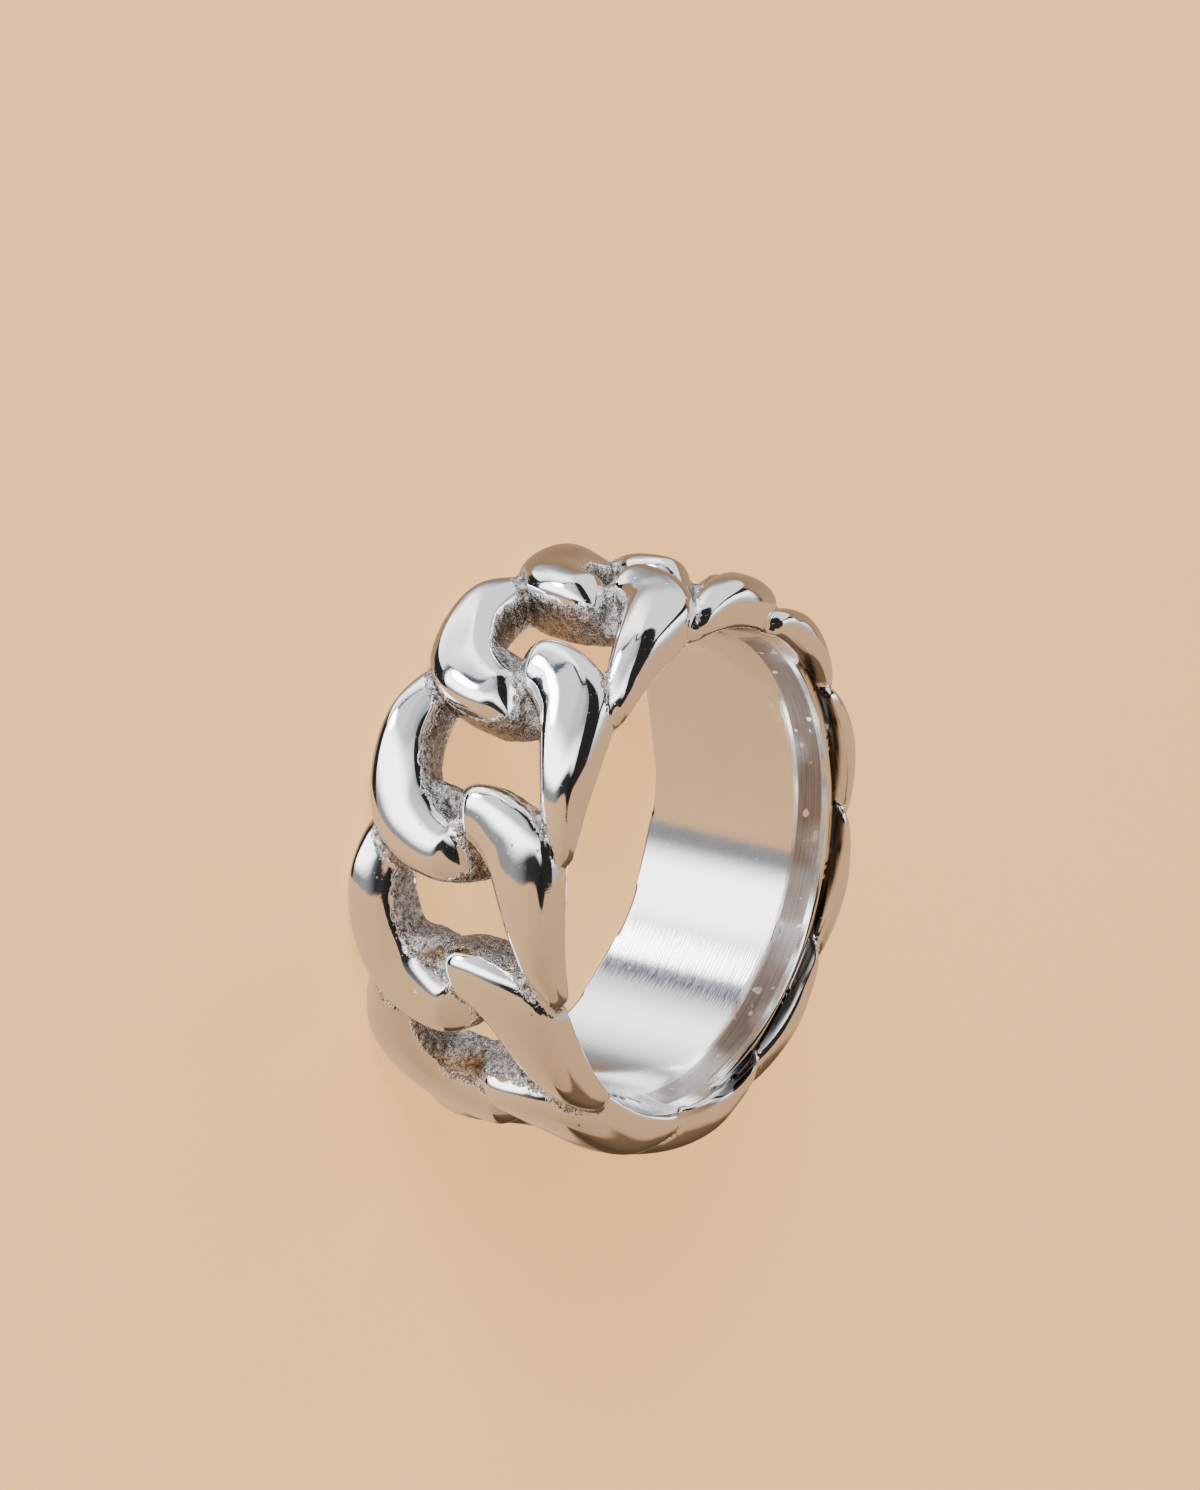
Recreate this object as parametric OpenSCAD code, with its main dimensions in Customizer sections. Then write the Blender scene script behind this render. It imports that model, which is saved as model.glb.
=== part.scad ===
/* [Ring] */
// Outside diameter over the crests of the links
outer_diameter = 25.2; // [20:0.1:30]
// Wall from the bore, that the finger goes through, to the crests of the links
wall_thickness = 2.7; // [2:0.05:3.5]
// Width of the ring over its widest links
ring_width = 9.8; // [7:0.1:13]
// Number of links round the ring
link_count = 11; // [9:1:14]
// Number of links at the front whose middles are pierced right through
open_links = 6; // [0:1:14]
// Angle of the middle of the pierced front, from the x axis
front_angle = -90; // [-180:1:180]

/* [Links] */
// Length of one link round the ring at mid wall
link_length = 11; // [8:0.1:14]
// Widest part of the strand that each link is bent from
strand_width = 2.54; // [1.6:0.02:3.4]
// How far the strand dips where it dives under its neighbour
crossing_dip = 1.5; // [0.6:0.05:2]

/* [Inner band] */
// Thickness of the smooth lining that closes the back links
lining_thickness = 1; // [0.5:0.05:1.6]
// Radius of the rounded edge at each end of the bore
bore_edge_radius = 0.8; // [0.2:0.05:1.2]

/* [Hidden] */
metal = [0.83, 0.83, 0.84];
outer_r = outer_diameter / 2;
inner_r = outer_r - wall_thickness;
mid_r = (inner_r + outer_r) / 2;
half_run = (link_length - strand_width) / 2;
half_reach = (ring_width - strand_width) / 2;
half_strand = strand_width / 2;
pitch = 360 / link_count;
first_link = front_angle - (open_links - 1) / 2 * pitch;
steps_per_span = 2;
edge_steps = 5;
lining_segments = 132;
past_ends = 1;

// Half of the link's centre line, from the end that rises through the last link
// to the end that dives under the next. The other half is the same turned half round.
// Each row is along, across, dip and half width, as shares of half_run, half_reach,
// crossing_dip and half_strand.
HALF_LOOP_SHARES = [
  [-0.898, -0.152, 0.97, 0.83],
  [-1.017, 0.262, 0.20, 0.93],
  [-0.863, 0.661, 0.00, 1.00],
  [-0.520, 0.917, 0.00, 1.00],
  [-0.106, 1.036, 0.05, 0.92],
  [0.307, 1.069, 0.20, 0.80],
  [0.674, 0.942, 0.57, 0.72],
  [0.898, 0.565, 1.00, 0.75]
];

// Outline of the strand's cross section, from its outer foot over the crest to its
// inner foot. Each row is across and up, as shares of the half width and of the
// height from bore to crest; the feet reach a little inside the bore.
STRAND_SECTION_SHARES = [
  [0.80, -0.15],
  [0.90, 0.05],
  [0.98, 0.27],
  [1.00, 0.50],
  [0.94, 0.70],
  [0.74, 0.87],
  [0.40, 0.97],
  [0.00, 1.00],
  [-0.40, 0.97],
  [-0.74, 0.87],
  [-0.94, 0.70],
  [-1.00, 0.50],
  [-0.93, 0.30],
  [-0.82, 0.08],
  [-0.78, -0.15]
];

half_rows = len(HALF_LOOP_SHARES);
loop_rows = 2 * half_rows;
stations = loop_rows * steps_per_span;
section_rows = len(STRAND_SECTION_SHARES);

function loop_row(i) =
  let (k = (i + loop_rows) % loop_rows, row = HALF_LOOP_SHARES[k % half_rows], turn = k < half_rows ? 1 : -1)
  [turn * row[0] * half_run, turn * row[1] * half_reach, row[2] * crossing_dip, row[3] * half_strand];

// A smooth curve through the rows of the loop
function curve(a, b, c, d, u) =
  (2 * b + (c - a) * u + (2 * a - 5 * b + 4 * c - d) * u * u + (3 * b - a - 3 * c + d) * u * u * u) / 2;

function on_loop(k) =
  let (i = floor(k / steps_per_span), u = k / steps_per_span - i)
  curve(loop_row(i - 1), loop_row(i), loop_row(i + 1), loop_row(i + 2), u);

function outward(k) =
  let (ahead = on_loop((k + 1) % stations), behind = on_loop((k + stations - 1) % stations))
  let (run = ahead[0] - behind[0], reach = ahead[1] - behind[1])
  [-reach, run] / norm([run, reach]);

function strand_point(c, n, row) =
  let (along = c[0] + n[0] * row[0] * c[3], across = c[1] + n[1] * row[0] * c[3])
  let (r = inner_r + row[1] * (wall_thickness - c[2]), turn = along / mid_r * 180 / PI)
  [r * cos(turn), r * sin(turn), across];

function link_points() = [
  for (k = [0:stations - 1])
    let (c = on_loop(k), n = outward(k))
    for (row = STRAND_SECTION_SHARES)
      strand_point(c, n, row)
];

function link_faces() = [
  for (k = [0:stations - 1], j = [0:section_rows - 1])
    let (k2 = (k + 1) % stations, j2 = (j + 1) % section_rows)
    let (a = k * section_rows + j, b = k2 * section_rows + j)
    let (c = k2 * section_rows + j2, d = k * section_rows + j2)
    for (face = [[a, b, c], [a, c, d]])
      face
];

module link() {
  polyhedron(points = link_points(), faces = link_faces(), convexity = 6);
}

module lining() {
  span = 360 - open_links * pitch;
  start = front_angle + open_links * pitch / 2;
  rotate([0, 0, start])
    rotate_extrude(angle = span, $fn = lining_segments)
      translate([inner_r - past_ends / 2, bore_edge_radius / 2 - ring_width / 2])
        square([lining_thickness + past_ends / 2, ring_width - bore_edge_radius]);
}

// The space a finger goes through, flared by the rounded edges at both ends
module bore_space() {
  edge_z = ring_width / 2 - bore_edge_radius;
  edge_r = inner_r + bore_edge_radius;
  upper_edge = [
    for (i = [0:edge_steps])
      let (t = 90 * i / edge_steps)
      [edge_r - bore_edge_radius * cos(t), edge_z + bore_edge_radius * sin(t)]
  ];
  lower_edge = [for (i = [edge_steps:-1:0]) [upper_edge[i][0], -upper_edge[i][1]]];
  ends = [[edge_r, ring_width / 2 + past_ends], [0, ring_width / 2 + past_ends]];
  far_ends = [[0, -ring_width / 2 - past_ends], [edge_r, -ring_width / 2 - past_ends]];
  rotate_extrude()
    polygon(concat(upper_edge, ends, far_ends, lower_edge));
}

module chain_ring() {
  color(metal)
    translate([0, 0, ring_width / 2])
      difference() {
        resize([outer_diameter, outer_diameter, ring_width])
          union() {
            for (i = [0:link_count - 1])
              rotate([0, 0, first_link + i * pitch])
                link();
            lining();
          }
        bore_space();
      }
}

chain_ring();
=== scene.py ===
import math

import bpy
import numpy as np
from mathutils import Matrix, Vector


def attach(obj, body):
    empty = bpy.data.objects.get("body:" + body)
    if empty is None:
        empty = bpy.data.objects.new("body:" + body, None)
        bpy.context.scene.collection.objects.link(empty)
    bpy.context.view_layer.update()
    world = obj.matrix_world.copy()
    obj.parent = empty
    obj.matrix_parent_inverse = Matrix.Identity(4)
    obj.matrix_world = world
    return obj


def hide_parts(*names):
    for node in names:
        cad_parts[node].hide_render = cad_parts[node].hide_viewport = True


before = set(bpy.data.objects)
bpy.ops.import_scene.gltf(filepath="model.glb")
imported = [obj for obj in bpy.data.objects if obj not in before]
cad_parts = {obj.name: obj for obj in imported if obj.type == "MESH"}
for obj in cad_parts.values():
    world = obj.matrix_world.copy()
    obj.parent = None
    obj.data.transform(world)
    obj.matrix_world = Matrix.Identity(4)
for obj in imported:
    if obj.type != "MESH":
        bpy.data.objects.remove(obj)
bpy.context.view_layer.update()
scene = bpy.context.scene
MM = 0.001

# ---------------------------------------------------------------- sizes, in mm
INNER_R = 9.9         # the bore
OUTER_R = 12.6        # over the crests of the links
WALL = OUTER_R - INNER_R
MID_R = (INNER_R + OUTER_R) / 2
WIDTH = 9.8
LINKS = 11
OPEN_LINKS = 6
FRONT_ANGLE = -90.0   # degrees, to the middle of the open links
HALF_RUN = 4.23       # half of a link's centre line, round the ring
HALF_REACH = 3.63     # the same across the ring
HALF_STRAND = 1.27
CROSSING_DIP = 1.5
PITCH = 2 * math.pi / LINKS
PITCH_RUN = PITCH * MID_R
FIRST_LINK = math.radians(FRONT_ANGLE) - (OPEN_LINKS - 1) / 2 * PITCH
CLOSED_LINKS = LINKS - OPEN_LINKS
CLOSED_MIDDLE = (OPEN_LINKS + LINKS - 1) / 2

# One link's centre line: along, across, dip and half width, as shares of HALF_RUN,
# HALF_REACH, CROSSING_DIP and HALF_STRAND, and how the strand's top leans outward.
LOOP = np.array([
    (-0.876, -0.168, 0.994, 0.849, -0.072),
    (-0.954, 0.200, 0.000, 0.953, 0.145),
    (-0.799, 0.684, 0.000, 1.150, 0.013),
    (-0.491, 0.914, 0.084, 1.062, -0.084),
    (0.024, 1.070, 0.220, 0.791, 0.007),
    (0.392, 1.140, 0.475, 0.601, 0.009),
    (0.764, 1.110, 0.880, 0.537, -0.046),
    (0.915, 0.677, 1.132, 0.533, -0.000),
    (0.917, 0.234, 0.957, 0.885, -0.098),
    (0.954, -0.116, 0.000, 0.976, 0.104),
    (0.784, -0.630, 0.000, 1.127, 0.068),
    (0.465, -0.928, 0.075, 1.070, -0.025),
    (0.049, -1.048, 0.082, 0.908, 0.037),
    (-0.331, -1.057, 0.291, 0.830, 0.163),
    (-0.719, -0.951, 0.577, 0.751, -0.213),
    (-0.987, -0.492, 0.728, 0.704, -0.010),
])
ROUND = 2.45          # power of the strand's rounded upper half
OUTER_TUCK = 0.10     # share by which the strand's outer side tucks in at the bore
INNER_TUCK = 0.16     # the same on the side of the link's hole
TUCK_LIMIT = 1.3      # where the tuck stops growing: 0 at mid height, 1 at the bore
LEAN_REACH = 1.5      # how far to each side of the strand its top keeps leaning
DIP_SOFT = 0.015      # softens the dip where it starts, in square mm
LEAST_STEEP = 0.4     # keeps the distance finite in the middle of a strand
BACKED_FROM = 0.55    # height where a closed link's underside starts
BACKED_RUN = 0.9      # links from the closed run's ends to where it is all clear
BACKED_RISE = 0.5     # mm past mid width over which it comes clear
WEB_MID = 0.55        # blend between links at mid width
WEB_RIM = 0.16        # blend between links at the rims
WEB_ACROSS = 3.4, 1.6   # from mid width, where the one becomes the other
LINING = 1.0          # thickness of the closed links' lining
LINING_UP, LINING_DOWN = 4.3, 4.65  # its reach from mid width, up and down
LINING_RUN = 0.3      # how far it runs on past the closed links
LINING_EDGE = 0.22    # rounding of its outer edges
LINING_RIM = 3.2      # from mid width, where its fillets turn small
LINING_FILLETS = 0.05, 0.35  # blend with the links beyond that and within it
CHAMFER_Z = 2.1       # width of the bore's slanted rim
CHAMFER_RISE = 0.2    # its rise, in mm a mm
CHAMFER_SOFT = 0.05   # blend where it starts
EDGE = 0.25           # rounding of the bore's edges
BORE_EDGE = 0.12      # blend of the bore with the links
CAST_DEPTH = 0.022    # height of the rough cast skin

# What the masks depend on, where they are 0 and where they are 1. Heights are above
# the bore and widths from mid width, in mm.
CREASE_NEAR = 0.57, 0.19     # how much farther the second link is than the first
CREASE_CREST = 2.45, 2.25    # height
CREASE_RIM = 3.58, 4.3       # width, where the crease thins out
CREASE_THINNED = 0.8         # the share that goes there
CREASE_FOOT = 0.6, 0.9       # height, outside the cast skin's width
DIVE = 0.95, 1.25            # the strand's dip
WALL_CREST = 2.05, 1.70      # height
WALL_FLANK = 0.55, 0.75      # share of the strand's half width
FLOOR_NEAR = -0.3, 0.0       # how much farther the links are than the lining
CAST_ACROSS = 3.0, 2.7       # width
BORE_NEAR = -0.1, 0.05       # how much nearer the bore is than the outside
DULL_FOOT = 0.0, 0.08        # rise over the start of the slanted rim
DULL_TOP = 4.02, 3.94        # height over mid width
DULL_END = 0.0, -0.05        # links past the closed run
# Where the crease by the lining gets its painted shade
DARK_FOOT = 0.46, 0.52       # height
DARK_TOP = 0.80, 0.70        # height
DARK_ACROSS = 3.9, 4.0       # height over mid width


# ---------------------------------------------------------------- the links' curve
def loop_spline():
    """Coefficients of a smooth closed curve through the loop's rows, one cubic a span."""
    rows = LOOP * [HALF_RUN, HALF_REACH, CROSSING_DIP, HALF_STRAND, 1]
    n = len(rows)
    system = np.zeros((n, n))
    for i in range(n):
        system[i, i] = 4
        system[i, i - 1] += 1
        system[i, (i + 1) % n] += 1
    ahead, behind = np.roll(rows, -1, 0), np.roll(rows, 1, 0)
    slope = np.linalg.solve(system, 3 * (ahead - behind))
    next_slope = np.roll(slope, -1, 0)
    return np.stack([
        rows,
        slope,
        3 * (ahead - rows) - 2 * slope - next_slope,
        2 * (rows - ahead) + slope + next_slope,
    ])


SPLINE = loop_spline()
SPANS = SPLINE.shape[1]


def on_loop(t):
    """Place, slope and bend of the loop at t."""
    i = np.floor(t).astype(int) % SPANS
    u = (t - np.floor(t))[..., None]
    c0, c1, c2, c3 = SPLINE[:, i]
    place = c0 + u * (c1 + u * (c2 + u * c3))
    return place, c1 + u * (2 * c2 + u * 3 * c3), 2 * c2 + u * 6 * c3


COARSE_STEP = 0.2
COARSE_T = np.arange(0, SPANS, COARSE_STEP)
COARSE = on_loop(COARSE_T)[0][:, :2]
NEWTON_STEPS = 4
LONGEST_STEP = 0.25   # of the loop's parameter
LEAST_BEND = 0.3      # keeps a step finite, as a share of the slope squared


def nearest(s, z, start=None):
    """The loop's parameter nearest to each point of the unrolled band."""
    if start is None:
        far = (s[..., None] - COARSE[:, 0]) ** 2 + (z[..., None] - COARSE[:, 1]) ** 2
        start = COARSE_T[far.argmin(-1)]
    t = start
    for _ in range(NEWTON_STEPS):
        p, d, b = on_loop(t)
        ds, dz = p[..., 0] - s, p[..., 1] - z
        g = ds * d[..., 0] + dz * d[..., 1]
        squared = d[..., 0] ** 2 + d[..., 1] ** 2
        h = squared + ds * b[..., 0] + dz * b[..., 1]
        h = np.maximum(h, LEAST_BEND * squared)
        t = t - np.clip(g / h, -LONGEST_STEP, LONGEST_STEP)
    return t


def fade(value, zero, one):
    """0 where value is zero, 1 where it is one, straight between, and even beyond."""
    return np.clip((value - zero) / (one - zero), 0, 1)


def eased(share):
    """The same from 0 to 1, with soft ends."""
    return share * share * (3 - 2 * share)


def blend(a, b, k):
    """The lower of a and b, with the corner between them filled over k."""
    h = np.maximum(k - np.abs(a - b), 0) / k
    return np.minimum(a, b) - h * h * k / 4


def rounded_corner(*sides):
    """Signed distance from the corner where all the sides are below 0."""
    outside = np.sqrt(sum(np.maximum(side, 0) ** 2 for side in sides))
    highest = sides[0]
    for side in sides[1:]:
        highest = np.maximum(highest, side)
    return outside + np.minimum(highest, 0)


def strand(s, z, r, t, backed):
    """Signed distance, roughly, from one link's strand, its dip, and how far to its
    side the point is. Where backed is 1 it lies on the lining, so its underside is
    round too."""
    p, d, _ = on_loop(t)
    length = np.hypot(d[..., 0], d[..., 1])
    u = ((s - p[..., 0]) * -d[..., 1] + (z - p[..., 1]) * d[..., 0]) / length
    half, lean = p[..., 3], p[..., 4]
    top = WALL - (p[..., 2] + np.sqrt(p[..., 2] ** 2 + DIP_SOFT)) / 2
    top = top - (lean * half) ** 2 / top + lean * np.clip(u, -LEAN_REACH, LEAN_REACH)
    v = (r - INNER_R) / top
    low = np.clip(1 - 2 * v, 0, TUCK_LIMIT) ** 2
    side = eased(np.clip(0.5 + u / half, 0, 1))
    wide = half * (1 - (INNER_TUCK + (OUTER_TUCK - INNER_TUCK) * side) * low)
    a = np.abs(u) / wide
    fall = 2 / (1 - 2 * BACKED_FROM / top) * backed
    b = np.maximum(np.maximum(2 * v - 1, (0.5 - v) * fall), 0)
    rho = (a ** ROUND + b ** ROUND) ** (1 / ROUND)
    safe = np.maximum(rho, 1e-3)
    ga = (a / safe) ** (ROUND - 1) / wide
    gb = (b / safe) ** (ROUND - 1) * np.where(v > 0.5, 2, fall) / top
    steep = np.sqrt(ga * ga + gb * gb)
    return (rho - 1) / np.maximum(steep, LEAST_STEEP), p[..., 2], a


WAVE_COUNT = 36
WAVE_LENGTHS = 0.38, 1.3
rng = np.random.default_rng(11)
WAVES = rng.normal(size=(WAVE_COUNT, 3))
lengths = rng.uniform(*WAVE_LENGTHS, WAVE_COUNT)
WAVES *= (2 * np.pi / lengths / np.linalg.norm(WAVES, axis=1))[:, None]
PHASES = rng.uniform(0, 2 * np.pi, WAVE_COUNT)


def lumps(p):
    """Smooth uneven waves through space, about -1 to 1."""
    total = np.zeros(p.shape[:-1])
    for wave, phase in zip(WAVES, PHASES):
        total += np.sin(p @ wave + phase)
    return total / math.sqrt(WAVE_COUNT / 2)


def ring(p, start=None):
    """Signed distance at points in mm round the middle of the bore, then the masks:
    how rough the metal is, the bore (2 on its dull rim, which carries a painted reflection)
    and the painted shade of the dark crease. Last, the nearest loop parameters for a later
    call."""
    x, y, z = p[..., 0], p[..., 1], p[..., 2]
    r = np.hypot(x, y)
    height, across = r - INNER_R, np.abs(z)
    turn = (np.arctan2(y, x) - FIRST_LINK) / PITCH
    link = np.round(turn)
    s = (turn - link) * PITCH_RUN
    closed = link % LINKS >= OPEN_LINKS
    # How many links past the ends of the closed run, and how far the links stand clear
    from_middle = np.abs((turn - CLOSED_MIDDLE + LINKS / 2) % LINKS - LINKS / 2)
    past = from_middle - CLOSED_LINKS / 2
    backed = eased(fade(past, 0, -BACKED_RUN)) * fade(z, 0, BACKED_RISE)
    found, dips, flanks, params = [], [], [], []
    for n, step in enumerate((-1, 0, 1)):
        along = s - step * PITCH_RUN
        t = nearest(along, z, None if start is None else start[n])
        params.append(t)
        distance, dip, flank = strand(along, z, r, t, backed)
        found.append(distance)
        dips.append(dip)
        flanks.append(flank)
    found = np.stack(found)
    order = np.argsort(found, 0)
    first, second = np.take_along_axis(found, order[:2], 0)
    dip = np.take_along_axis(np.stack(dips), order[:1], 0)[0]
    flank = np.take_along_axis(np.stack(flanks), order[:1], 0)[0]
    mid = eased(fade(across, *WEB_ACROSS))
    body = blend(first, second, WEB_RIM + (WEB_MID - WEB_RIM) * mid)
    # The lining behind the closed links
    band = rounded_corner(
        height - LINING + LINING_EDGE,
        np.maximum(z - LINING_UP, -z - LINING_DOWN) + LINING_EDGE,
        past * PITCH_RUN - LINING_RUN + LINING_EDGE,
    ) - LINING_EDGE
    filled = blend(body, band, np.where(across > LINING_RIM, *LINING_FILLETS))
    # The cast skin: in the creases between links, where a strand dives under its
    # neighbour, on the walls of a link's hole, and on the lining inside a link
    inward = fade(across, *CAST_ACROSS)
    crease = fade(second - first, *CREASE_NEAR) * fade(height, *CREASE_CREST)
    crease = crease * (1 - CREASE_THINNED * fade(across, *CREASE_RIM))
    crease = crease * np.maximum(inward, fade(height, *CREASE_FOOT))
    diving = fade(dip, *DIVE)
    on_wall = fade(height, *WALL_CREST) * fade(flank, *WALL_FLANK)
    floor = np.where(closed, fade(body - band, *FLOOR_NEAR), 0)
    rough = np.maximum(crease, np.maximum(np.maximum(diving, on_wall), floor) * inward)
    # The bore, with its slanted rim on the upper side
    rise = z - (WIDTH / 2 - CHAMFER_Z)
    slant = (INNER_R + CHAMFER_RISE * rise - r) / math.hypot(1, CHAMFER_RISE)
    inner = -blend(height, -slant, CHAMFER_SOFT)
    bore = rounded_corner(inner + EDGE, across - (WIDTH / 2 - EDGE)) - EDGE
    in_bore = fade(bore - filled, *BORE_NEAR)
    on_rim = fade(rise, *DULL_FOOT) * fade(z, *DULL_TOP) * fade(past, *DULL_END)
    lined = in_bore * (1 + on_rim)
    # Painted shade: the dark crease between the lining's edge and the links, where shade
    # falls
    dark = fade(height, *DARK_FOOT) * fade(height, *DARK_TOP) * fade(z, *DARK_ACROSS)
    dark = dark * (1 - np.minimum(lined, 1)) * np.sqrt(backed)
    rough = rough * (1 - in_bore) * (1 - dark)
    bumpy = filled + CAST_DEPTH * rough * lumps(p)
    solid = -blend(-bumpy, -bore, BORE_EDGE)
    return solid, rough, lined, dark, params


# ---------------------------------------------------------------- the mesh
STEP_Z = 0.155
STEP_R = 0.15
COLUMNS = 40          # a link
SLOPE_STEP = 0.008
PULLS = 4             # times that the points are pulled onto the surface
LONGEST_PULL = 0.12
FLATTEST = 0.2        # the least slope squared that a pull counts with


def surface_net(field):
    """Quads round the zero of field, which closes on itself along its first axis."""
    n, nz, nr = field.shape
    wrapped = np.concatenate([field, field[:1]], 0)
    inside = wrapped < 0
    corner = {}
    for i in (0, 1):
        for j in (0, 1):
            for k in (0, 1):
                cut = (slice(i, n + i), slice(j, nz - 1 + j), slice(k, nr - 1 + k))
                corner[i, j, k] = (wrapped[cut], inside[cut])
    total = np.zeros((n, nz - 1, nr - 1, 3))
    count = np.zeros((n, nz - 1, nr - 1))
    for c in list(corner):
        for axis in range(3):
            if c[axis]:
                continue
            e = list(c)
            e[axis] = 1
            (va, ia), (vb, ib) = corner[c], corner[tuple(e)]
            hit = ia != ib
            share = np.where(hit, va / np.where(hit, va - vb, 1), 0)
            for other in range(3):
                total[..., other] += np.where(hit, share if other == axis else c[other], 0)
            count += hit
    cell = count > 0
    number = np.full(cell.shape, -1)
    number[cell] = np.arange(cell.sum())
    points = np.argwhere(cell) + total[cell] / count[cell][:, None]
    # Each edge that crosses the surface joins the four cells round it, axis by axis
    mid, low, high = slice(1, -1), slice(None, -1), slice(1, None)
    edges = (
        ((low, mid, mid), (high, mid, mid), ((0, 0, 0), (0, 1, 0), (0, 1, 1), (0, 0, 1))),
        ((low, low, mid), (low, high, mid), ((-1, 0, 0), (-1, 0, 1), (0, 0, 1), (0, 0, 0))),
        ((low, mid, low), (low, mid, high), ((-1, 0, 0), (0, 0, 0), (0, 1, 0), (-1, 1, 0))),
    )
    quads = []
    for start, end, cells in edges:
        i, j, k = np.nonzero(inside[start] != inside[end])
        quad = np.stack([number[i + di, j + dj, k + dk] for di, dj, dk in cells], 1)
        quads.append(np.where(inside[start][i, j, k][:, None], quad, quad[:, ::-1]))
    return points, np.concatenate(quads)


def slopes(p, start):
    """Gradient of the ring's distance at points."""
    g = np.empty_like(p)
    for axis in range(3):
        step = np.zeros(3)
        step[axis] = SLOPE_STEP
        rise = ring(p + step, start)[0] - ring(p - step, start)[0]
        g[:, axis] = rise / (2 * SLOPE_STEP)
    return g


def build_ring():
    """The ring's points, quads, normals and masks."""
    columns = LINKS * COLUMNS
    z = np.arange(-WIDTH / 2 - 2 * STEP_Z, WIDTH / 2 + 2.01 * STEP_Z, STEP_Z)
    z = z - (z[0] + z[-1]) / 2
    r = np.arange(INNER_R - 2 * STEP_R, OUTER_R + 2.01 * STEP_R, STEP_R)
    turn = FIRST_LINK + (np.arange(columns) / COLUMNS - 0.5) * PITCH
    field = np.empty((columns, len(z), len(r)))
    for c in range(0, columns, COLUMNS):
        a, zz, rr = np.meshgrid(turn[c:c + COLUMNS], z, r, indexing="ij")
        p = np.stack([rr * np.cos(a), rr * np.sin(a), zz], -1)
        field[c:c + COLUMNS] = ring(p)[0]
    points, quads = surface_net(field)
    a = FIRST_LINK + (points[:, 0] / COLUMNS - 0.5) * PITCH
    rr = r[0] + points[:, 2] * STEP_R
    p = np.stack([rr * np.cos(a), rr * np.sin(a), z[0] + points[:, 1] * STEP_Z], 1)
    for _ in range(PULLS):
        d, _, _, _, start = ring(p)
        g = slopes(p, start)
        squared = np.maximum((g * g).sum(1), FLATTEST)
        p = p - np.clip(d / squared, -LONGEST_PULL, LONGEST_PULL)[:, None] * g
    _, rough, in_bore, dark, start = ring(p)
    normal = slopes(p, start)
    normal /= np.maximum(np.linalg.norm(normal, axis=1, keepdims=True), 1e-6)
    return p, quads, normal, rough, in_bore, dark


points, quads, normal, rough, in_bore, dark = build_ring()
points[:, 2] += WIDTH / 2

mesh = bpy.data.meshes.new("ring_band")
mesh.from_pydata((points * MM).tolist(), [], quads.tolist())
mesh.polygons.foreach_set("use_smooth", [True] * len(mesh.polygons))
for name, values in (("cast", rough), ("bore", in_bore), ("crease", dark)):
    made = mesh.attributes.new(name, "FLOAT", "POINT")
    made.data.foreach_set("value", values.astype(np.float32))
mesh.validate()
mesh.normals_split_custom_set_from_vertices(normal.tolist())
mesh.update()
band = bpy.data.objects.new("ring_band", mesh)
scene.collection.objects.link(band)


# ---------------------------------------------------------------- materials
class Nodes:
    """Short ways to add nodes to one tree."""

    def __init__(self, tree):
        self.tree = tree

    def add(self, kind, inputs=(), **settings):
        made = self.tree.nodes.new(kind)
        for key, value in settings.items():
            setattr(made, key, value)
        for key, value in dict(inputs).items():
            if isinstance(value, bpy.types.NodeSocket):
                self.tree.links.new(value, made.inputs[key])
            else:
                made.inputs[key].default_value = value
        return made

    def math(self, operation, *values):
        inputs = dict(enumerate(values))
        return self.add("ShaderNodeMath", inputs, operation=operation).outputs[0]

    def times(self, *values):
        out = values[0]
        for value in values[1:]:
            out = self.math("MULTIPLY", out, value)
        return out

    def scaled(self, vector, strength):
        inputs = {0: vector, "Scale": strength}
        return self.add("ShaderNodeVectorMath", inputs, operation="SCALE").outputs[0]

    def ramp(self, value, low, high, at_low=0.0, at_high=1.0, smooth=False):
        """at_low where value is low, at_high where it is high, and between."""
        if high < low:
            low, high, at_low, at_high = high, low, at_high, at_low
        inputs = {
            "Value": value,
            "From Min": low,
            "From Max": high,
            "To Min": at_low,
            "To Max": at_high,
        }
        kind = "SMOOTHSTEP" if smooth else "LINEAR"
        made = self.add("ShaderNodeMapRange", inputs, interpolation_type=kind)
        return made.outputs["Result"]

    def soft(self, value, low, high, at_low=0.0, at_high=1.0):
        """The same with its ends eased."""
        return self.ramp(value, low, high, at_low, at_high, smooth=True)

    def mix(self, below, above, share):
        inputs = {"Factor": share, 4: below, 5: above}
        return self.add("ShaderNodeMix", inputs, data_type="VECTOR").outputs[1]

    def mix_number(self, below, above, share):
        return self.add("ShaderNodeMix", {"Factor": share, 2: below, 3: above}).outputs[0]

    def noise(self, vector, scale, detail, roughness):
        inputs = {"Vector": vector, "Scale": scale, "Detail": detail, "Roughness": roughness}
        return self.add("ShaderNodeTexNoise", inputs).outputs["Fac"]


CLEAN_METAL = (0.85, 0.85, 0.86)
# Painted reflection on the bore's rim, for the links' flanks mirrored in it
RIM_PAINTED_REFLECTION = (0.20, 0.165, 0.145), (0.34, 0.29, 0.26)         # the bore's rim
# Painted shade, near black, for the crease by the lining
CREASE_PAINTED_SHADE = (0.035, 0.03, 0.027)                                   # the dark crease
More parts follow.
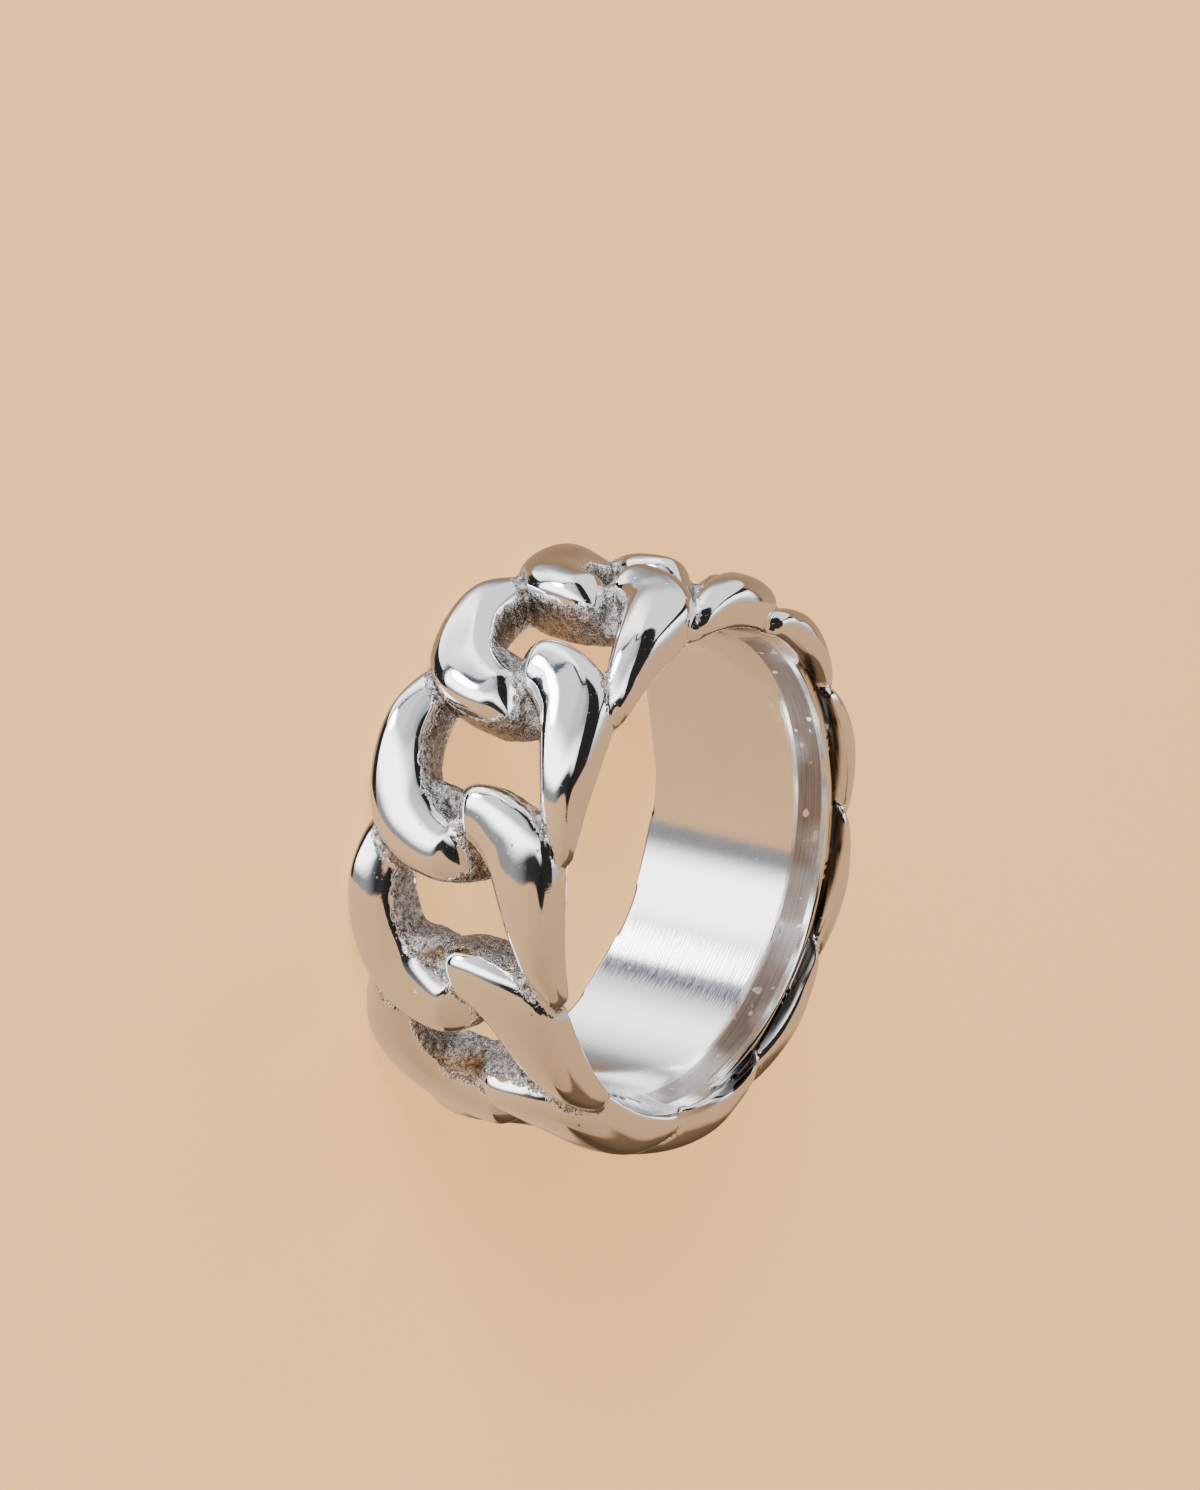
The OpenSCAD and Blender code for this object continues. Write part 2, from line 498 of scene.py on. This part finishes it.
# Painted shade in the cast skin: dark pits, and darker deeper down
SHADED_DEEP_CAST = (0.14, 0.123, 0.112), (0.52, 0.485, 0.455)        # pits and peaks
SHADED_RAISED_CAST = (0.07, 0.066, 0.063), (0.92, 0.91, 0.90)        # the same near the crests
DEEP_R, RAISED_R = 11.0, 12.0
POLISH = 0.04, 0.08           # roughness of the links
BRUSHING = 0.02, 0.06         # added in the bore
RIM_ROUGHNESS = 0.26          # added on the bore's rim
CAST_ROUGHNESS = 0.32, 0.11   # of its pits and peaks
BUFF_SLANT = 0.77, 0.64       # cosine and sine of the buffing's slant, roughly
BUFF_DEPTH, BRUSH_DEPTH = 0.0011, 0.0065    # in mm
GRAIN_DEPTH, PIT_DEPTH = 0.04, 0.085

metal = bpy.data.materials.new("polished_metal")
metal.use_nodes = True
m = Nodes(metal.node_tree)
shader = metal.node_tree.nodes["Principled BSDF"]
shader.inputs["Metallic"].default_value = 1.0
cast = m.add("ShaderNodeAttribute", attribute_name="cast").outputs["Fac"]
satin = m.add("ShaderNodeAttribute", attribute_name="bore").outputs["Fac"]
crease_shade = m.add("ShaderNodeAttribute", attribute_name="crease").outputs["Fac"]
in_mm = m.scaled(m.add("ShaderNodeTexCoord").outputs["Object"], 1000.0)
x, y, z = m.add("ShaderNodeSeparateXYZ", {0: in_mm}).outputs
run = m.math("MULTIPLY", m.math("ARCTAN2", y, x), MID_R)
radius = m.math("SQRT", m.math("ADD", m.times(x, x), m.times(y, y)))


def streaks(along, across, length, width):
    """Fine lines, that long and that wide in mm."""
    at = {
        0: m.math("DIVIDE", along, length),
        1: m.math("DIVIDE", across, width),
        2: m.times(radius, 0.7),
    }
    return m.noise(m.add("ShaderNodeCombineXYZ", at).outputs[0], 1.0, 3.0, 0.6)


# The bore is brushed round the ring; the links were buffed across, a little aslant
brushed = streaks(run, z, 3.2, 0.09)
cosine, sine = BUFF_SLANT
slanted = m.math("SUBTRACT", m.times(z, cosine), m.times(run, sine))
crossing = m.math("ADD", m.times(z, sine), m.times(run, cosine))
buffed = streaks(slanted, crossing, 1.1, 0.06)
haze = m.noise(in_mm, 0.55, 3.0, 0.6)
grain = m.noise(in_mm, 13.0, 3.0, 0.7)
pits = m.noise(in_mm, 4.8, 3.0, 0.55)
ragged_edge = m.noise(in_mm, 8.0, 3.0, 0.65)
spots = m.noise(in_mm, 1.9, 0.0, 0.4)
patches = m.noise(in_mm, 0.42, 1.0, 0.5)
# The bore's rim is rougher, unevenly, with a few spots still bright; there its colour is a
# painted reflection, darker brownish metal standing in for the links' flanks mirrored in it
rim = m.times(m.ramp(satin, 1.3, 1.7), m.soft(spots, 0.80, 0.74))
rim = m.times(rim, m.soft(patches, 0.42, 0.6, 1.0, 0.62))
# The cast skin ends in a ragged line
ragged = m.soft(m.math("ADD", cast, m.ramp(ragged_edge, 0.3, 0.7, -0.42, 0.42)), 0.40, 0.66)
lined = m.math("MINIMUM", satin, 1.0)
brushing = m.times(lined, m.ramp(brushed, 0.3, 0.7, *BRUSHING))
worn = m.math("ADD", m.ramp(haze, 0.35, 0.7, *POLISH), brushing)
worn = m.math("ADD", worn, m.times(rim, RIM_ROUGHNESS))
roughness = m.mix_number(worn, m.ramp(grain, 0.35, 0.65, *CAST_ROUGHNESS), ragged)
m.tree.links.new(roughness, shader.inputs["Roughness"])
bright = m.scaled(CLEAN_METAL, m.ramp(haze, 0.3, 0.7, 0.96, 1.0))
# The rim's painted reflection
bright = m.mix(bright, m.mix(*RIM_PAINTED_REFLECTION, m.ramp(brushed, 0.3, 0.7)), rim)
# Painted shade in the crease by the lining
bright = m.mix(bright, CREASE_PAINTED_SHADE, crease_shade)
# Painted shade on the cast skin: the pits are darkened, and towards the bore it is darker
# overall
peaks = m.ramp(m.math("ADD", m.times(grain, 0.5), m.times(pits, 0.5)), 0.42, 0.60)
deep, raised = m.mix(*SHADED_DEEP_CAST, peaks), m.mix(*SHADED_RAISED_CAST, peaks)
skin = m.mix(deep, raised, m.soft(radius, DEEP_R, RAISED_R))
m.tree.links.new(m.mix(bright, skin, ragged), shader.inputs["Base Color"])
line_height = m.mix_number(m.times(buffed, BUFF_DEPTH), m.times(brushed, BRUSH_DEPTH), lined)
skin_height = m.math("ADD", m.times(grain, GRAIN_DEPTH), m.times(pits, PIT_DEPTH))
surface_height = m.math("ADD", line_height, m.times(skin_height, ragged))
relief = m.add("ShaderNodeBump", {"Strength": 1.0, "Distance": MM, "Height": surface_height})
m.tree.links.new(relief.outputs[0], shader.inputs["Normal"])
mesh.materials.append(metal)

FLOOR_REACH = 3.0     # in metres, to each side
floor_mesh = bpy.data.meshes.new("floor")
floor_corners = [
    (-FLOOR_REACH, -FLOOR_REACH, 0),
    (FLOOR_REACH, -FLOOR_REACH, 0),
    (FLOOR_REACH, FLOOR_REACH, 0),
    (-FLOOR_REACH, FLOOR_REACH, 0),
]
floor_mesh.from_pydata(floor_corners, [], [(0, 1, 2, 3)])
floor = bpy.data.objects.new("floor", floor_mesh)
scene.collection.objects.link(floor)
paper = bpy.data.materials.new("paper")
paper.use_nodes = True
paper_shader = paper.node_tree.nodes["Principled BSDF"]
paper_shader.inputs["Base Color"].default_value = (0.75, 0.43, 0.15, 1)
paper_shader.inputs["Roughness"].default_value = 0.9
paper_shader.inputs["Emission Color"].default_value = (1.0, 0.57, 0.22, 1)
paper_shader.inputs["Emission Strength"].default_value = 1.08
floor_mesh.materials.append(paper)
floor.visible_glossy = False

# ---------------------------------------------------------------- camera
TILT = math.radians(57.175)      # from straight above, towards the open links
ROLL = math.radians(102.412)
ABOUT = math.radians(-1.866)     # turn about the ring's axis
DISTANCE = 169.132               # mm from the ring's middle
SIDEWAYS, UPWARD = 0.620, -4.432   # mm, of the ring's middle in the picture
PHOTO_HEIGHT = 1490              # pixels
FOCAL_PIXELS = 4016.5
SENSOR = 36                      # mm
back = Vector((0, -math.sin(TILT), math.cos(TILT)))
level = Vector((1, 0, 0))
rise = Vector((0, math.cos(TILT), math.sin(TILT)))
right = math.cos(ROLL) * level + math.sin(ROLL) * rise
up = -math.sin(ROLL) * level + math.cos(ROLL) * rise
place = back * DISTANCE - right * SIDEWAYS - up * UPWARD
spin = Matrix.Rotation(ABOUT, 3, "Z")
place, right, up, back = spin @ place, spin @ right, spin @ up, spin @ back
place.z += WIDTH / 2
camera = bpy.data.objects.new("camera", bpy.data.cameras.new("camera"))
scene.collection.objects.link(camera)
camera.matrix_world = Matrix((
    (right.x, up.x, back.x, place.x * MM),
    (right.y, up.y, back.y, place.y * MM),
    (right.z, up.z, back.z, place.z * MM),
    (0, 0, 0, 1),
))
camera.data.sensor_width = SENSOR
camera.data.lens = FOCAL_PIXELS * SENSOR / PHOTO_HEIGHT
camera.data.clip_start = 0.01
scene.camera = camera

# ---------------------------------------------------------------- light
# The studio: soft white panels round the ring, dark gaps between them, and warm paper
# on the side that the links' lower faces look at. It stays still in the world.
# Directions are a height over the studio's level and an angle around from its front,
# both in degrees.
LEAN, TIP = math.radians(7), math.radians(4)    # of the studio's upright
HORIZON = 4.5                   # how far the paper's edge lies below level
A_LEFT, A_RIGHT, A_TOP = -103, 47, 79
A_FOOT, A_HEAD = (6, 20), (32, 54)    # over the horizon, where A brightens and fades
A_LIGHT, A_FADE = 4.9, 4.0
A_LIFTED = (-58, 16, 18), (18, 40, -8)    # around from, to, and how much A's foot rises
A_BENT = (40, 53, 16), (62, 75, -16)      # height from, to, and how much its left edge moves
A_WHITE, A_BLUISH = (1, 1, 1.01), (0.95, 0.985, 1.05)    # below and above
A_SPILL = 0.38, 0.04            # light below A, at its left and at its right
B_LOW, B_LEFT, B_RIGHT = 23, A_LEFT - 5, 91
B_LIGHT, B_BUMP = 1.45, 2.0     # all over, and more on the left behind
B_DIMMED = 0.75                 # share of its light that is missing at the back
C_LEFT, C_RIGHT, C_TOP = 97, 128, B_LOW - 5
C_LIGHT = 0.7, 3.0              # at its foot and above
PANEL_EDGE, FAR_EDGE = 1, 1.2   # softness of the panels' edges
LAMP_HEIGHT, LAMP_AROUND = math.radians(42), math.radians(-89)
LAMP_LIGHT, GLOW_LIGHT = 16.0, 4.5
ROOM, ROOM_LIGHT = (1, 0.90, 0.86), 0.03
REAR_WALL, REAR_WALL_FROM = (1, 0.62, 0.35), 131
REAR_WALL_LIGHT = 0.62, 0.30    # at level and at 45 degrees
BLUE_GAP = (0.13, 0.16, 0.23)
PAPER = (1, 0.60, 0.31)
PAPER_EDGE = 0.7
PAPER_UP = (-50, 4, 7), (14, 46, -10), (52, 66, 6)    # around from, to, and its edge's rise
SHADOW = 0.68, 0.84             # share of the paper's light that it takes, near and far
DEGREES = 180 / math.pi
sky = (up * math.cos(LEAN) + back * math.sin(LEAN) + right * math.sin(TIP)).normalized()
fore = (back - sky * back.dot(sky)).normalized()
beside = fore.cross(sky)
beside = beside if beside.dot(right) > 0 else -beside

world = bpy.data.worlds.new("studio")
world.use_nodes = True
scene.world = world
world.node_tree.nodes.clear()
w = Nodes(world.node_tree)
way = w.add("ShaderNodeTexCoord").outputs["Generated"]


def along(axis):
    made = w.add("ShaderNodeVectorMath", {0: way, 1: axis}, operation="DOT_PRODUCT")
    return made.outputs["Value"]


def over(below, colour, strength, mask):
    return w.mix(below, w.scaled(colour, strength), mask)


def beyond(value, edge, soft):
    """1 where value is over the edge, which is that soft."""
    return w.soft(value, edge - soft, edge + soft)


def short_of(value, edge, soft):
    """1 where value is under the edge."""
    return w.soft(value, edge + soft, edge - soft)


def within(value, low, high, soft):
    return w.times(beyond(value, low, soft), short_of(value, high, soft))


def stepped(value, steps):
    """The sum of smooth steps: each one from, to, and how much."""
    total = 0.0
    for low, high, much in steps:
        total = w.math("ADD", total, w.soft(value, low, high, 0, much))
    return total


height = w.times(w.math("ARCSINE", along(sky)), DEGREES)
around = w.times(w.math("ARCTAN2", along(beside), along(fore)), DEGREES)
behind = w.math("ABSOLUTE", around)
above = w.math("ADD", height, HORIZON)
# The dark room, and the wall behind
seen = w.scaled(ROOM, ROOM_LIGHT)
wall_light = w.ramp(height, 0, 45, *REAR_WALL_LIGHT)
seen = over(seen, REAR_WALL, wall_light, beyond(behind, REAR_WALL_FROM, 2))
# A: the large panel to the left of the camera, brightest across its middle. Before the
# camera the room stays dark below it.
over_foot = w.math("SUBTRACT", above, stepped(around, A_LIFTED))
shine = w.soft(over_foot, *A_FOOT, 0, A_LIGHT)
shine = w.math("SUBTRACT", shine, w.soft(above, *A_HEAD, 0, A_FADE))
shine = w.math("ADD", w.ramp(around, -50, -12, *A_SPILL), shine)
shine = w.times(shine, w.ramp(around, 15, A_RIGHT, 1.0, 0.4))
panel = w.mix(A_WHITE, A_BLUISH, w.soft(height, 40, 52))
# Its left edge bends in a little at mid height
bend = stepped(height, A_BENT)
bent = w.math("SUBTRACT", around, bend)
on_a = w.times(
    beyond(bent, A_LEFT, PANEL_EDGE),
    short_of(around, A_RIGHT, PANEL_EDGE),
    short_of(height, A_TOP, PANEL_EDGE),
)
seen = over(seen, panel, shine, on_a)
# B: the panel overhead, behind. Towards the back its foot lies higher, and it is dimmer.
lower = w.math("ADD", height, w.ramp(behind, 90, 170, 0, -10))
beside_a = w.math(
    "MAXIMUM",
    within(around, B_RIGHT, 190, FAR_EDGE),
    within(bent, -210, B_LEFT, FAR_EDGE),
)
reach = w.math("MAXIMUM", beside_a, beyond(height, A_TOP + 4, PANEL_EDGE))
over_light = w.math("ADD", B_LIGHT, w.times(within(around, -160, -118, 18), B_BUMP))
dimmed = w.math(
    "MAXIMUM",
    w.ramp(behind, 150, 175, 0, B_DIMMED),
    w.soft(around, -128, -148, 0, B_DIMMED),
)
dimmed = w.times(dimmed, w.soft(height, 52, 38))
over_light = w.times(over_light, w.math("SUBTRACT", 1.0, dimmed))
on_b = w.times(beyond(lower, B_LOW, PANEL_EDGE), reach)
seen = over(seen, (1, 1, 1.02), over_light, on_b)
# C: the narrow panel on the right
on_c = w.times(within(around, C_LEFT, C_RIGHT, FAR_EDGE), short_of(height, C_TOP, PANEL_EDGE))
seen = over(seen, (1, 1, 1), w.ramp(height, 2, 12, *C_LIGHT), on_c)
# Between A and B the room is bluish
wider = w.math("ADD", bent, w.times(bend, 0.4))
gap = w.times(w.soft(wider, A_LEFT - 6, A_LEFT - 4.4), short_of(bent, A_LEFT, 0.8))
gap = w.times(gap, w.soft(height, 8, 16), short_of(height, A_TOP + 2, PANEL_EDGE))
seen = over(seen, BLUE_GAP, 1.0, gap)
# The lamp, and its glow on A
lamp = fore * math.cos(LAMP_AROUND) + beside * math.sin(LAMP_AROUND)
lamp = sky * math.sin(LAMP_HEIGHT) + lamp * math.cos(LAMP_HEIGHT)
off_lamp = w.math("ARCCOSINE", w.math("MINIMUM", along(lamp), 1.0))
off_lamp = w.times(off_lamp, DEGREES)
glow = w.times(w.soft(off_lamp, 13, 9, 0, GLOW_LIGHT), w.soft(height, 37, 44))
glow = w.times(glow, beyond(bent, A_LEFT, PANEL_EDGE))
glow = w.scaled((0.93, 0.98, 1.08), glow)
seen = w.add("ShaderNodeVectorMath", {0: seen, 1: glow}, operation="ADD").outputs[0]
seen = over(seen, (1, 1, 1), LAMP_LIGHT, w.soft(off_lamp, 10, 7.5))
# The paper, darker to the right and down, with the ring's own shadow far to the right
warm = w.times(w.ramp(around, -90, 50, 1.25, 0.93), w.ramp(height, -70, 0, 0.75, 1.0))
shaded = w.math("MAXIMUM", w.soft(around, 91, 101), w.soft(around, -170, -177))
shaded = w.times(shaded, w.ramp(around, 95, 150, *SHADOW), w.soft(height, -18, -25))
warm = w.times(warm, w.math("SUBTRACT", 1.0, shaded))
over_edge = w.math("SUBTRACT", above, stepped(around, PAPER_UP))
on_paper = short_of(over_edge, 0, PAPER_EDGE)
seen = over(seen, PAPER, warm, on_paper)
background = w.add("ShaderNodeBackground", {"Color": seen})
w.add("ShaderNodeOutputWorld", {"Surface": background.outputs[0]})

KEY_DISTANCE = 0.45   # in metres
key = bpy.data.objects.new("key", bpy.data.lights.new("key", "AREA"))
scene.collection.objects.link(key)
key.data.size = 0.12
key.data.energy = 1.3
key.data.color = (1, 0.97, 0.93)
away = (up * 0.55 + right * 0.1 + back * 0.8).normalized()
key.location = away * KEY_DISTANCE
key.rotation_euler = away.to_track_quat("Z", "Y").to_euler()
key.visible_glossy = False

# ---------------------------------------------------------------- hand over
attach(band, "root")
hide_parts("chain_ring")
